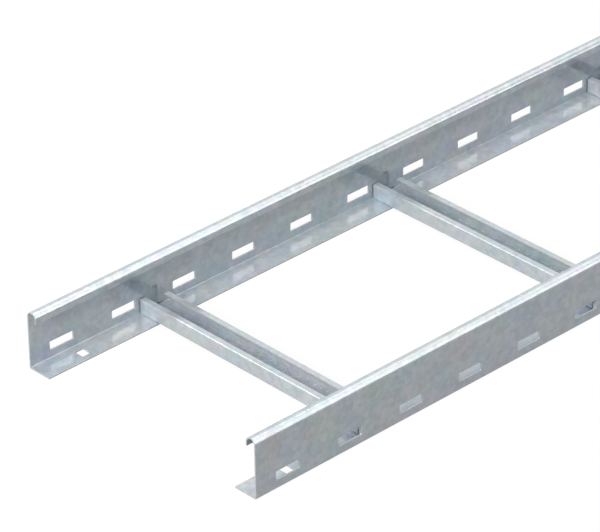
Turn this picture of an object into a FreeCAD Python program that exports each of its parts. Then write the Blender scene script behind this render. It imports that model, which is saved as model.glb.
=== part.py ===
import FreeCAD, Part
import os

# Overall sizes of the ladder section, in millimetres: its length is whole rung spacings
RUNG_COUNT = 10
RUNG_PITCH = 300.0
LENGTH = RUNG_COUNT * RUNG_PITCH
WIDTH = 300.0
SHEET = 1.5

# Side rail: web, inward foot flange and curled top edge
RAIL_HEIGHT = 61.0
FLANGE_WIDTH = 27.0
FLANGE_BEND = 2.0
CURL_RADIUS = 6.0
CURL_LIP = 4.0

# Row of punched slots along each web, first one measured from the rail's end
SLOT_LENGTH = 28.0
SLOT_HEIGHT = 9.0
SLOT_CORNER = 1.0
SLOT_LEVEL = 13.9
SLOT_FIRST = 37.5
SLOT_PITCH = 75.0

# Rectangular hole in the flange at each end of each rail
HOLE_ALONG = 9.5
HOLE_ACROSS = 11.0
HOLE_CORNER = 0.6
HOLE_INSET = 15.3
HOLE_FROM_END = 50.2

# Rung: channel with inturned lips, open at the top
RUNG_WIDTH = 29.8
RUNG_HEIGHT = 15.6
RUNG_BEND = 1.6
RUNG_MOUTH = 16.8
RUNG_FIRST = 147.0
RUNG_END_CLEARANCE = 1.1

# Notch through lip and wall at two diagonally opposite corners of each rung
NOTCH_LENGTH = 7.7

X_AXIS = FreeCAD.Vector(1, 0, 0)
Y_AXIS = FreeCAD.Vector(0, 1, 0)
Z_AXIS = FreeCAD.Vector(0, 0, 1)
SIDES = {"left": 1, "right": -1}


def stations(first, pitch, width):
    """Places along X, counted from the start end, where a feature of this width fits."""
    count = int((LENGTH - first - width) / pitch) + 1
    return [first + pitch * k - LENGTH / 2 for k in range(count)]


def rounded_path(corners, radii):
    """Edges through the corners, each square bend rounded to its radius."""
    edges = []
    start = corners[0]
    for before, corner, after, radius in zip(corners, corners[1:], corners[2:], radii):
        into = (corner - before).normalize()
        away = (after - corner).normalize()
        bend_start = corner - into * radius
        bend_end = corner + away * radius
        centre = bend_start + away * radius
        middle = centre + (into - away).normalize() * radius
        if not start.isEqual(bend_start, SHEET / 1000):
            edges.append(Part.makeLine(start, bend_start))
        edges.append(Part.Arc(bend_start, middle, bend_end).toShape())
        start = bend_end
    edges.append(Part.makeLine(start, corners[-1]))
    return edges


def bent_sheet(corners, radii):
    """Face of a bent strip: its outer side follows the corners, all turning one way."""
    steps = [(b - a).normalize() for a, b in zip(corners, corners[1:])]
    inside = [corners[0] + steps[1] * SHEET]
    for corner, into, away in zip(corners[1:], steps, steps[1:]):
        inside.append(corner + (away - into) * SHEET)
    inside.append(corners[-1] - steps[-2] * SHEET)
    edges = rounded_path(corners, radii)
    edges += rounded_path(inside, [radius - SHEET for radius in radii])
    edges += [Part.makeLine(outer, inner) for outer, inner in
              ((corners[0], inside[0]), (corners[-1], inside[-1]))]
    return Part.Face(Part.Wire(Part.__sortEdges__(edges)))


def block(low, high):
    """Block between two opposite corners given as (x, y, z), in either order."""
    base = [min(a, b) for a, b in zip(low, high)]
    sizes = [abs(a - b) for a, b in zip(low, high)]
    return Part.makeBox(*sizes, FreeCAD.Vector(*base))


def punch(centre, sizes, axis, corner):
    """Block with its four edges along the axis rounded, centred on a point."""
    half = FreeCAD.Vector(*sizes) / 2
    tool = block(centre - half, centre + half)
    edges = [e for e in tool.Edges if e.tangentAt(e.FirstParameter).cross(axis).Length < 0.5]
    return tool.makeFillet(corner, edges)


def rail(side):
    """Side rail on the side +1 or -1 of the middle, with its slots and flange holes."""
    def section_point(inset, height):
        return FreeCAD.Vector(-LENGTH / 2, side * (WIDTH / 2 - inset), height)

    corners = [section_point(FLANGE_WIDTH, 0), section_point(0, 0),
               section_point(0, RAIL_HEIGHT), section_point(2 * CURL_RADIUS, RAIL_HEIGHT),
               section_point(2 * CURL_RADIUS, RAIL_HEIGHT - CURL_RADIUS - CURL_LIP)]
    section = bent_sheet(corners, [FLANGE_BEND, CURL_RADIUS, CURL_RADIUS])
    body = section.extrude(X_AXIS * LENGTH)

    web_middle = side * (WIDTH - SHEET) / 2
    cuts = [punch(FreeCAD.Vector(x, web_middle, SLOT_LEVEL),
                  (SLOT_LENGTH, 2 * SHEET, SLOT_HEIGHT), Y_AXIS, SLOT_CORNER)
            for x in stations(SLOT_FIRST, SLOT_PITCH, SLOT_LENGTH)]
    hole_line = side * (WIDTH / 2 - HOLE_INSET)
    for end in (-1, 1):
        middle = FreeCAD.Vector(end * (LENGTH / 2 - HOLE_FROM_END), hole_line, SHEET / 2)
        cuts.append(punch(middle, (HOLE_ALONG, HOLE_ACROSS, 2 * SHEET), Z_AXIS, HOLE_CORNER))
    return body.cut(Part.makeCompound(cuts)).Solids[0]


def rung(x):
    """Rung standing on both flanges at the place x, open side up, with its two notches."""
    reach = WIDTH / 2 - SHEET - RUNG_END_CLEARANCE
    floor = SHEET
    top = floor + RUNG_HEIGHT
    half = RUNG_WIDTH / 2
    outline = [(-RUNG_MOUTH / 2, top), (-half, top), (-half, floor),
               (half, floor), (half, top), (RUNG_MOUTH / 2, top)]
    corners = [FreeCAD.Vector(x + across, -reach, height) for across, height in outline]
    section = bent_sheet(corners, [RUNG_BEND] * (len(corners) - 2))
    channel = section.extrude(Y_AXIS * 2 * reach)
    notches = [block((x + end * (RUNG_MOUTH / 2 - SHEET), end * (reach - NOTCH_LENGTH), floor + RUNG_BEND),
                     (x + end * (half + SHEET), end * (reach + SHEET), top + SHEET))
               for end in (-1, 1)]
    return channel.cut(Part.makeCompound(notches)).Solids[0]


os.makedirs("parts", exist_ok=True)
for name, side in SIDES.items():
    rail(side).exportStep("parts/rail_%s.step" % name)
for number, x in enumerate(stations(RUNG_FIRST, RUNG_PITCH, RUNG_WIDTH), 1):
    rung(x).exportStep("parts/rung_%02d.step" % number)
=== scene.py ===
"""Cable ladder section in galvanised sheet steel: two slotted side rails and ten channel rungs."""
import math

import bmesh
import bpy
from mathutils import Matrix, Vector


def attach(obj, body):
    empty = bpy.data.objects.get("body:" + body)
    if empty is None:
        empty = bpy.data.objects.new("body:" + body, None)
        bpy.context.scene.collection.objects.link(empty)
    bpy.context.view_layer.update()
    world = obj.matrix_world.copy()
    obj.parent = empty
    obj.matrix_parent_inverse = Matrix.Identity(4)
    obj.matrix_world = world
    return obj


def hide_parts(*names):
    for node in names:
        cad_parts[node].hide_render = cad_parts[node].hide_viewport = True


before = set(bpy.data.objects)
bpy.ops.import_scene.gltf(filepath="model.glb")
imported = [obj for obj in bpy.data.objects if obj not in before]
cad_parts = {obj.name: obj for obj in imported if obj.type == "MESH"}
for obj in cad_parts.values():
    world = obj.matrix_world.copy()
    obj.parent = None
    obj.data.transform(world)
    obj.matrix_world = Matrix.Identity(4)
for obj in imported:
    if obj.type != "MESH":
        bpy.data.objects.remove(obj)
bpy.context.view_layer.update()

MM = 0.001

# Ladder section, in millimetres, as its solids have it
RUNG_COUNT = 10
RUNG_PITCH = 300.0
LENGTH = RUNG_COUNT * RUNG_PITCH
WIDTH = 300.0
SHEET = 1.5

# Side rail: foot flange, web and curled top edge, with a slot in every bay of the web
RAIL_HEIGHT = 61.0
FLANGE_WIDTH = 27.0
FLANGE_BEND = 2.0
CURL_RADIUS = 6.0
CURL_LIP = 4.0
BAY = 75.0
SLOT_SIZE = (28.0, 9.0)
SLOT_LEVEL = 13.9
SLOT_CORNER = 1.0

# Foot hole in the flange near each end of a rail
HOLE_SIZE = (9.5, 11.0)
HOLE_CORNER = 0.6
HOLE_INSET = 15.3
HOLE_FROM_END = 50.2

# Rung: channel with inturned lips, notched at two diagonally opposite corners
RUNG_WIDTH = 29.8
RUNG_HEIGHT = 15.6
RUNG_BEND = 1.6
RUNG_MOUTH = 16.8
RUNG_FIRST = 147.0
RUNG_END_CLEARANCE = 1.1
NOTCH_LENGTH = 7.7

# How far a bend's flats may stand off its true arc, and the flats in a punched corner
BEND_ERROR = 0.01
CORNER_FLATS = 4

# Burnished rounding of a cut edge, and the turn in degrees from which an edge is a cut one
EDGE_ROUNDING = 0.2
EDGE_TURN = 50

# Camera found from the photograph's edges: degrees, and millimetres from the start end's middle
CAMERA_AZIMUTH = 43.065
CAMERA_ELEVATION = 30.914
CAMERA_ROLL = -0.939
CAMERA_TARGET = (296.892, 107.838)
CAMERA_DISTANCE = 4079.361
CAMERA_LENS = 260.993

# Studio, in metres: the lamps stand round a point on the part that is seen
LAMP_AIM = Vector((-1.2, 0, 0))
LAMP_DISTANCE = 6
FLOOR_REACH = 30
VIEW_REACH = 100

# A lamp's light is less deep than this on the sheet that is seen, and deeper where that sheet
# mirrors another one
FIRST_LIGHT_DEPTH = 2.5


def linear(code):
    """Linear colour, with alpha, of an sRGB hex value."""
    parts = [int(code[i:i + 2], 16) / 255 for i in (1, 3, 5)]
    return [c / 12.92 if c <= 0.04045 else ((c + 0.055) / 1.055) ** 2.4 for c in parts] + [1.0]


def add(tree, kind, inputs=(), **settings):
    """Add a node: settings by property or input name, inputs as (name, socket or value)."""
    node = tree.nodes.new(kind)
    for name, value in settings.items():
        if hasattr(node, name):
            setattr(node, name, value)
        else:
            node.inputs[name.replace("_", " ")].default_value = value
    for name, value in inputs:
        if isinstance(value, bpy.types.NodeSocket):
            tree.links.new(value, node.inputs[name])
        else:
            node.inputs[name].default_value = value
    return node


def bent_line(corners, radii):
    """Points along a folded strip's middle line, each square bend an arc of its radius."""
    points = [Vector(corners[0])]
    for before, corner, after, radius in zip(corners, corners[1:], corners[2:], radii):
        into = (Vector(corner) - Vector(before)).normalized()
        away = (Vector(after) - Vector(corner)).normalized()
        centre = Vector(corner) + (away - into) * radius
        flats = math.ceil(math.pi / 4 / math.acos(1 - BEND_ERROR / radius))
        for step in range(flats + 1):
            turn = math.pi / 2 * step / flats
            point = centre + (into * math.sin(turn) - away * math.cos(turn)) * radius
            if (point - points[-1]).length > BEND_ERROR:
                points.append(point)
    return points + [Vector(corners[-1])]


def rail_line():
    """Middle line of the rail's section as (distance in from the outer face, height)."""
    skin = SHEET / 2
    foot, curl = FLANGE_BEND - skin, CURL_RADIUS - skin
    lip = 2 * CURL_RADIUS - skin
    corners = [(FLANGE_WIDTH, skin), (skin, skin), (skin, RAIL_HEIGHT - skin),
               (lip, RAIL_HEIGHT - skin), (lip, RAIL_HEIGHT - CURL_RADIUS - CURL_LIP)]
    return bent_line(corners, [foot, curl, curl])


def rung_line():
    """Middle line of the rung's section as (distance across, height)."""
    skin = SHEET / 2
    half, low, high = RUNG_WIDTH / 2 - skin, SHEET + skin, SHEET + RUNG_HEIGHT - skin
    corners = [(-RUNG_MOUTH / 2, high), (-half, high), (-half, low),
               (half, low), (half, high), (RUNG_MOUTH / 2, high)]
    return bent_line(corners, [RUNG_BEND - skin] * 4)


def with_marks(line, marks):
    """The middle line with more points on its flats, where a punched cell begins or ends."""
    points = [line[0]]
    for start, end in zip(line, line[1:]):
        flat = end - start
        along = flat.normalized()
        inside = [m for m in map(Vector, marks)
                  if BEND_ERROR < (m - start).dot(along) < flat.length - BEND_ERROR
                  and abs(along.cross(m - start)) < BEND_ERROR]
        points += sorted(inside, key=lambda m: (m - start).length) + [end]
    return points


def hole_outline(centre, size, corner):
    """Four corner arcs of a rounded rectangle, each a short list of points, going round it."""
    arcs = []
    for quarter, (side, level) in enumerate(((1, 1), (-1, 1), (-1, -1), (1, -1))):
        middle = Vector((centre[0] + side * (size[0] / 2 - corner),
                         centre[1] + level * (size[1] / 2 - corner)))
        turns = [math.radians(90 * (quarter + step / CORNER_FLATS))
                 for step in range(CORNER_FLATS + 1)]
        arcs.append([middle + corner * Vector((math.cos(t), math.sin(t))) for t in turns])
    return arcs


class FoldedSheet:
    """Middle surface of a folded strip: a grid of flats, with punched and cut away cells."""

    def __init__(self, line, stations, place):
        self.line, self.place = line, place
        self.build = bmesh.new()
        self.slug = self.build.faces.layers.int.new("slug")
        self.grid = [[self.build.verts.new(place(x, p)) for p in line] for x in stations]
        self.open_cells = set()

    def row(self, point):
        """Number of the grid row at a point of the middle line."""
        return min(range(len(self.line)), key=lambda i: (self.line[i] - Vector(point)).length)

    def leave_open(self, columns, rows):
        """Cut these cells away."""
        self.open_cells |= {(c, r) for c in range(*columns) for r in range(*rows)}

    def punch(self, columns, rows, centre, size, corner, slug=False):
        """Round the hole off inside a block of cells; its slug may stay to be punched later."""
        self.leave_open(columns, rows)
        (left, right), (low, high) = columns, rows
        base = self.line[low]
        up = (self.line[high] - base).normalized()
        rise = (Vector(centre[1]) - base).dot(up)
        arcs = [[self.build.verts.new(self.place(p.x, base + up * p.y)) for p in arc]
                for arc in hole_outline((centre[0], rise), size, corner)]
        sides = [[self.grid[c][high] for c in range(right, left - 1, -1)],
                 [self.grid[left][r] for r in range(high, low - 1, -1)],
                 [self.grid[c][low] for c in range(left, right + 1)],
                 [self.grid[right][r] for r in range(low, high + 1)]]
        for number, (arc, side) in enumerate(zip(arcs, sides)):
            for a, b in zip(arc, arc[1:]):
                self.build.faces.new((side[0], b, a))
            self.build.faces.new(side[::-1] + [arc[-1], arcs[(number + 1) % 4][0]])
        if slug:
            self.build.faces.new([v for arc in arcs for v in arc])[self.slug] = 1

    def mesh(self, name):
        """The finished surface as a mesh."""
        for c, (near, far) in enumerate(zip(self.grid, self.grid[1:])):
            for r in range(len(self.line) - 1):
                if (c, r) not in self.open_cells:
                    self.build.faces.new((near[r], far[r], far[r + 1], near[r + 1]))
        unused = [v for v in self.build.verts if not v.link_faces]
        bmesh.ops.delete(self.build, geom=unused, context="VERTS")
        bmesh.ops.recalc_face_normals(self.build, faces=self.build.faces)
        mesh = bpy.data.meshes.new(name)
        self.build.to_mesh(mesh)
        self.build.free()
        return mesh


def rail_bay(side):
    """One bay of a side rail: its slot, and slugs where the foot holes of either end are."""
    skin = SHEET / 2
    near, far = HOLE_INSET - HOLE_SIZE[1] / 2 - SHEET, HOLE_INSET + HOLE_SIZE[1] / 2 + SHEET
    low, high = SLOT_LEVEL - SLOT_SIZE[1] / 2 - SHEET, SLOT_LEVEL + SLOT_SIZE[1] / 2 + SHEET
    line = with_marks(rail_line(), [(far, skin), (near, skin), (skin, low), (skin, high)])
    # The slot's two columns of cells are each long enough for a foot hole
    reach = SLOT_SIZE[0] / 2 + 3 * SHEET
    sheet = FoldedSheet(line, [-BAY / 2, -reach, 0, reach, BAY / 2],
                        lambda x, p: Vector((x, side * (WIDTH / 2 - p.x), p.y)) * MM)
    sheet.punch((1, 3), (sheet.row((skin, low)), sheet.row((skin, high))),
                (0, (skin, SLOT_LEVEL)), SLOT_SIZE, SLOT_CORNER)
    for column, place in ((1, BAY / 2 - HOLE_FROM_END), (2, HOLE_FROM_END - BAY / 2)):
        sheet.punch((column, column + 1), (sheet.row((far, skin)), sheet.row((near, skin))),
                    (place, (HOLE_INSET, skin)), HOLE_SIZE, HOLE_CORNER, slug=True)
    return sheet.mesh("rail_bay")


def rung_sheet():
    """One rung, folded and notched, standing across the ladder's middle."""
    reach = WIDTH / 2 - SHEET - RUNG_END_CLEARANCE
    line = rung_line()
    sheet = FoldedSheet(line, [-reach, NOTCH_LENGTH - reach, reach - NOTCH_LENGTH, reach],
                        lambda y, p: Vector((p.x, y, p.y)) * MM)
    side, fold_top = (RUNG_WIDTH - SHEET) / 2, SHEET + RUNG_BEND
    sheet.leave_open((0, 1), (0, sheet.row((-side, fold_top))))
    sheet.leave_open((2, 3), (sheet.row((side, fold_top)), len(line) - 1))
    return sheet.mesh("rung_sheet")


def row_tree():
    """Geometry Nodes that repeat a folded sheet along the ladder and punch its end slugs out."""
    tree = bpy.data.node_groups.new("row_along_ladder", "GeometryNodeTree")
    for name, kind in (("Geometry", "NodeSocketGeometry"), ("Count", "NodeSocketInt"),
                       ("First", "NodeSocketFloat"), ("Pitch", "NodeSocketFloat"),
                       ("Hole Place", "NodeSocketFloat"), ("Hole Reach", "NodeSocketFloat"),
                       ("Finish", "NodeSocketMaterial")):
        tree.interface.new_socket(name, in_out="INPUT", socket_type=kind)
    tree.interface.new_socket("Geometry", in_out="OUTPUT", socket_type="NodeSocketGeometry")
    given = add(tree, "NodeGroupInput").outputs
    first = add(tree, "ShaderNodeCombineXYZ", [("X", given["First"])]).outputs[0]
    pitch = add(tree, "ShaderNodeCombineXYZ", [("X", given["Pitch"])]).outputs[0]
    places = add(tree, "GeometryNodeMeshLine",
                 [("Count", given["Count"]), ("Start Location", first), ("Offset", pitch)])
    copies = add(tree, "GeometryNodeInstanceOnPoints",
                 [("Points", places.outputs[0]), ("Instance", given["Geometry"])])
    sheet = add(tree, "GeometryNodeRealizeInstances", [("Geometry", copies.outputs[0])])
    welded = add(tree, "GeometryNodeMergeByDistance",
                 [("Geometry", sheet.outputs[0]), ("Distance", BEND_ERROR * MM)])
    # Only the slugs at the distance of the foot holes from the ladder's middle come out
    position = add(tree, "GeometryNodeInputPosition").outputs[0]
    where = add(tree, "ShaderNodeSeparateXYZ", [("Vector", position)]).outputs
    away = add(tree, "ShaderNodeMath", [(0, where["X"])], operation="ABSOLUTE")
    off = add(tree, "ShaderNodeMath", [(0, away.outputs[0]), (1, given["Hole Place"])],
              operation="SUBTRACT")
    gap = add(tree, "ShaderNodeMath", [(0, off.outputs[0])], operation="ABSOLUTE")
    near = add(tree, "FunctionNodeCompare", [("A", gap.outputs[0]), ("B", given["Hole Reach"])],
               operation="LESS_THAN")
    slug = add(tree, "GeometryNodeInputNamedAttribute", [("Name", "slug")], data_type="INT")
    both = add(tree, "FunctionNodeBooleanMath", [(0, near.outputs[0]), (1, slug.outputs[0])],
               operation="AND")
    punched = add(tree, "GeometryNodeDeleteGeometry",
                  [("Geometry", welded.outputs[0]), ("Selection", both.outputs[0])], domain="FACE")
    finish = add(tree, "GeometryNodeSetMaterial",
                 [("Geometry", punched.outputs[0]), ("Material", given["Finish"])])
    add(tree, "NodeGroupOutput", [("Geometry", finish.outputs[0])])
    return tree


def make_piece(name, node, slot, mesh, tree, finishes, **inputs):
    """Piece of sheet metal that stands for a solid: its sheet repeated as the tree's inputs say,
    thickened, and its edges eased, with one finish on its faces and one on its cut edges."""
    piece = bpy.data.objects.new(name, mesh)
    bpy.context.scene.collection.objects.link(piece)
    for material in finishes:
        mesh.materials.append(material)
    row = piece.modifiers.new("row", "NODES")
    row.node_group = tree
    sockets = {s.name: s.identifier for s in tree.interface.items_tree if s.in_out == "INPUT"}
    for label, value in {"Finish": finishes[0], **inputs}.items():
        row[sockets[label.replace("_", " ")]] = value
    wall = piece.modifiers.new("wall", "SOLIDIFY")
    wall.thickness, wall.offset = SHEET * MM, 0
    wall.use_even_offset, wall.material_offset_rim = True, 1
    edge = piece.modifiers.new("edge", "BEVEL")
    edge.width, edge.segments = EDGE_ROUNDING * MM, 2
    edge.limit_method, edge.angle_limit = "ANGLE", math.radians(EDGE_TURN)
    piece.modifiers.new("shading", "WEIGHTED_NORMAL").keep_sharp = True
    shape = piece.evaluated_get(bpy.context.evaluated_depsgraph_get())
    solid = bpy.data.meshes.new_from_object(shape)
    piece.modifiers.clear()
    piece.data = solid
    solid.name = name
    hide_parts(node)
    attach(piece, "root")


def finish_nodes(name):
    """Empty material with its shader and output, and the object's own coordinates."""
    material = bpy.data.materials.new(name)
    material.use_nodes = True
    tree = material.node_tree
    tree.nodes.clear()
    shader = add(tree, "ShaderNodeBsdfPrincipled")
    add(tree, "ShaderNodeOutputMaterial", [("Surface", shader.outputs[0])])
    return material, tree, shader, add(tree, "ShaderNodeTexCoord").outputs["Object"]


def pattern_scale(size):
    """Scale at which a pattern's features are this many millimetres wide."""
    return 1000 / size


def galvanised_sheet():
    """Hot-dip galvanised strip: a dull silver skin of zinc that still mirrors what stands by it,
    with faint small crystals and the violet, green and blue casts of its oxide film."""
    material, tree, shader, place = finish_nodes("galvanised_sheet_steel")
    # Spangle about 5 mm across, its borders melted together by the skin pass
    warp = add(tree, "ShaderNodeTexNoise", [("Vector", place)],
               Scale=pattern_scale(8), Detail=2.0)
    shift = add(tree, "ShaderNodeVectorMath",
                [(0, warp.outputs["Color"]), (1, [3 * MM] * 3), (2, place)],
                operation="MULTIPLY_ADD")
    crystals = add(tree, "ShaderNodeTexVoronoi", [("Vector", shift.outputs[0])],
                   feature="SMOOTH_F1", Scale=pattern_scale(5), Smoothness=0.5)
    tone = add(tree, "ShaderNodeSeparateColor", [("Color", crystals.outputs["Color"])])
    # Clouds of thicker and thinner zinc, from 12 mm down to the rolls' grain of 1 mm
    clouds = add(tree, "ShaderNodeTexNoise", [("Vector", place)],
                 Scale=pattern_scale(12), Detail=4.0, Roughness=0.8)
    shade = add(tree, "ShaderNodeMix", [("A", tone.outputs["Red"]), ("B", clouds.outputs[0])],
                data_type="FLOAT", Factor=0.7)
    bright = add(tree, "ShaderNodeValToRGB", [("Fac", shade.outputs[0])])
    dark, light = bright.color_ramp.elements
    dark.position, dark.color = 0.3, linear("#B9C4CC")
    light.position, light.color = 0.7, linear("#CDD6DE")
    # Oxide film 30 mm wide, its casts a few hundredths of each colour, the least of green
    film = add(tree, "ShaderNodeTexNoise", [("Vector", place)],
               Scale=pattern_scale(30), Detail=3.0, Roughness=0.6)
    casts = add(tree, "ShaderNodeVectorMath",
                [(0, film.outputs["Color"]), (1, (1.4, 0.7, 1.4)), (2, (-0.2, 0.15, -0.2))],
                operation="MULTIPLY_ADD")
    colour = add(tree, "ShaderNodeMix", [("A", bright.outputs[0]), ("B", casts.outputs[0])],
                 data_type="RGBA", blend_type="LINEAR_LIGHT", Factor=0.08)
    tree.links.new(colour.outputs["Result"], shader.inputs["Base Color"])
    shader.inputs["Metallic"].default_value = 0.38
    # Some crystals are duller than others, so what the sheet mirrors looks blotchy
    gloss = add(tree, "ShaderNodeMapRange", [("Value", tone.outputs["Green"])],
                From_Min=0.25, From_Max=0.75, To_Min=0.08, To_Max=0.2)
    tree.links.new(gloss.outputs[0], shader.inputs["Roughness"])
    # Skin of frozen zinc, wavy over 8 mm, that breaks up what it mirrors
    skin = add(tree, "ShaderNodeTexNoise", [("Vector", place)],
               Scale=pattern_scale(8), Detail=3.0)
    relief = add(tree, "ShaderNodeBump", [("Height", skin.outputs[0])],
                 Strength=1.0, Distance=0.2 * MM)
    tree.links.new(relief.outputs[0], shader.inputs["Normal"])
    return material


def sheared_edge():
    """Cut edge of the strip: zinc drawn thinly over bare steel, a little greyer and duller than
    the faces, with an uneven grain from the shears."""
    material, tree, shader, place = finish_nodes("sheared_sheet_edge")
    # The shears' grain is about 0.1 mm wide, and drawn 0.8 mm wide so that it shows
    grain = add(tree, "ShaderNodeTexNoise", [("Vector", place)],
                Scale=pattern_scale(0.8), Detail=3.0)
    tone = add(tree, "ShaderNodeValToRGB", [("Fac", grain.outputs[0])])
    dark, light = tone.color_ramp.elements
    dark.position, dark.color = 0.3, linear("#AEB3B8")
    light.position, light.color = 0.7, linear("#CED3D8")
    tree.links.new(tone.outputs[0], shader.inputs["Base Color"])
    shader.inputs["Metallic"].default_value = 0.25
    shader.inputs["Roughness"].default_value = 0.32
    relief = add(tree, "ShaderNodeBump", [("Height", grain.outputs[0])],
                 Strength=0.15, Distance=0.05 * MM)
    tree.links.new(relief.outputs[0], shader.inputs["Normal"])
    return material


def place_camera():
    """Camera of the photograph, over the ladder's start end."""
    az, el, roll = (math.radians(a) for a in (CAMERA_AZIMUTH, CAMERA_ELEVATION, CAMERA_ROLL))
    ahead = Vector((math.sin(az) * math.cos(el), math.cos(az) * math.cos(el), -math.sin(el)))
    right = ahead.cross(Vector((0, 0, 1))).normalized()
    up = right.cross(ahead)
    across = right * math.cos(roll) + up * math.sin(roll)
    upward = up * math.cos(roll) - right * math.sin(roll)
    target = Vector((CAMERA_TARGET[0] - LENGTH / 2, CAMERA_TARGET[1], 0)) * MM
    data = bpy.data.cameras.new("camera")
    data.lens = CAMERA_LENS
    data.clip_end = VIEW_REACH
    camera = bpy.data.objects.new("camera", data)
    turn = Matrix((across, upward, -ahead)).transposed().to_4x4()
    camera.matrix_world = Matrix.Translation(target - ahead * CAMERA_DISTANCE * MM) @ turn
    bpy.context.scene.collection.objects.link(camera)
    bpy.context.scene.camera = camera


def shown_rays(tree):
    """1 for the rays that see the plain white surroundings: camera, mirror and clear ones."""
    rays = add(tree, "ShaderNodeLightPath").outputs
    seen = add(tree, "ShaderNodeMath", [(0, rays["Is Camera Ray"]), (1, rays["Is Glossy Ray"])],
               operation="MAXIMUM")
    shown = add(tree, "ShaderNodeMath", [(0, seen.outputs[0]), (1, rays["Is Transmission Ray"])],
                operation="MAXIMUM")
    return shown.outputs[0]


def make_studio():
    """White surroundings and a pale floor that keeps the ladder's faint shadow."""
    world = bpy.data.worlds.new("studio")
    bpy.context.scene.world = world
    world.use_nodes = True
    tree = world.node_tree
    tree.nodes.clear()
    dim = add(tree, "ShaderNodeBackground", Color=linear("#FFFFFF"), Strength=0.02)
    white = add(tree, "ShaderNodeBackground", Color=linear("#FFFFFF"), Strength=1.0)
    mixed = add(tree, "ShaderNodeMixShader",
                [(0, shown_rays(tree)), (1, dim.outputs[0]), (2, white.outputs[0])])
    add(tree, "ShaderNodeOutputWorld", [("Surface", mixed.outputs[0])])

    mesh = bpy.data.meshes.new("floor")
    corners = [(x * FLOOR_REACH, y * FLOOR_REACH, 0)
               for x, y in ((-1, -1), (1, -1), (1, 1), (-1, 1))]
    mesh.from_pydata(corners, [], [(0, 1, 2, 3)])
    floor = bpy.data.objects.new("floor", mesh)
    bpy.context.scene.collection.objects.link(floor)
    material = bpy.data.materials.new("pale_floor")
    material.use_nodes = True
    tree = material.node_tree
    tree.nodes.clear()
    # White to the camera, a little less so where the sheets mirror it, and darker in the
    # ladder's shadow. Elsewhere a plain grey, that throws some light up at the sheets
    matt = add(tree, "ShaderNodeBsdfDiffuse", Color=linear("#898989"))
    shadow = add(tree, "ShaderNodeBsdfDiffuse", Color=linear("#585858"))
    seen = add(tree, "ShaderNodeLightPath").outputs["Is Camera Ray"]
    level = add(tree, "ShaderNodeMapRange", [("Value", seen)], To_Min=0.62, To_Max=0.91)
    glow = add(tree, "ShaderNodeEmission", [("Strength", level.outputs[0])],
               Color=linear("#FFFFFF"))
    pale = add(tree, "ShaderNodeAddShader", [(0, shadow.outputs[0]), (1, glow.outputs[0])])
    mixed = add(tree, "ShaderNodeMixShader",
                [(0, shown_rays(tree)), (1, matt.outputs[0]), (2, pale.outputs[0])])
    add(tree, "ShaderNodeOutputMaterial", [("Surface", mixed.outputs[0])])
    mesh.materials.append(material)


def hang_lamp(name, azimuth, elevation, size, power, colour, once=False):
    """Soft lamp of a width and height in metres, its azimuth in degrees from +X towards +Y. One
    that shines once isn't mirrored on from sheet to sheet, so flanges mirror slots and web."""
    az, el = math.radians(azimuth), math.radians(elevation)
    away = Vector((math.cos(az) * math.cos(el), math.sin(az) * math.cos(el), math.sin(el)))
    data = bpy.data.lights.new(name, "AREA")
    data.shape = "RECTANGLE"
    data.size, data.size_y, data.energy = *size, power
    data.color = linear(colour)[:3]
    if once:
        data.use_nodes = True
        tree = data.node_tree
        depth = add(tree, "ShaderNodeLightPath").outputs["Ray Depth"]
        early = add(tree, "ShaderNodeMath", [(0, depth), (1, FIRST_LIGHT_DEPTH)],
                    operation="LESS_THAN")
        tree.links.new(early.outputs[0], tree.nodes["Emission"].inputs["Strength"])
    lamp = bpy.data.objects.new(name, data)
    lamp.location = LAMP_AIM + LAMP_DISTANCE * away
    lamp.rotation_euler = (-away).to_track_quat("-Z", "Y").to_euler()
    bpy.context.scene.collection.objects.link(lamp)


bpy.context.scene.view_settings.view_transform = "Standard"
place_camera()
make_studio()
hang_lamp("right_tall", 308, 22, (2.0, 5.0), 58, "#FFF7EC", once=True)
hang_lamp("right_overhead", 350, 53, (5.0, 2.0), 32, "#FFF7EC", once=True)
hang_lamp("left_back", 130, 36, (2.0, 2.0), 45, "#FFFAF4", once=True)
hang_lamp("left_key", 190, 30, (2.0, 2.0), 268, "#FFF9F1")
hang_lamp("left_high", 195, 50, (2.0, 2.0), 72, "#FFFAF4")
hang_lamp("left_low", 180, 10, (3.0, 2.0), 35, "#FFFAF4")
hang_lamp("overhead", 0, 75, (3.0, 3.0), 132, "#FFFFFF")

finishes = galvanised_sheet(), sheared_edge()
row = row_tree()
for name, side in (("left", 1), ("right", -1)):
    make_piece(name + "_rail_sheet", "rail_" + name, "galvanised_rail", rail_bay(side), row,
               finishes, Count=round(LENGTH / BAY), First=(BAY - LENGTH) / 2 * MM, Pitch=BAY * MM,
               Hole_Place=(LENGTH / 2 - HOLE_FROM_END) * MM, Hole_Reach=HOLE_SIZE[0] / 2 * MM)
for number in range(RUNG_COUNT):
    make_piece("rung_sheet_%02d" % (number + 1), "rung_%02d" % (number + 1), "galvanised_rung",
               rung_sheet(), row, finishes, Count=1, Pitch=RUNG_PITCH * MM,
               First=(RUNG_FIRST + number * RUNG_PITCH - LENGTH / 2) * MM)
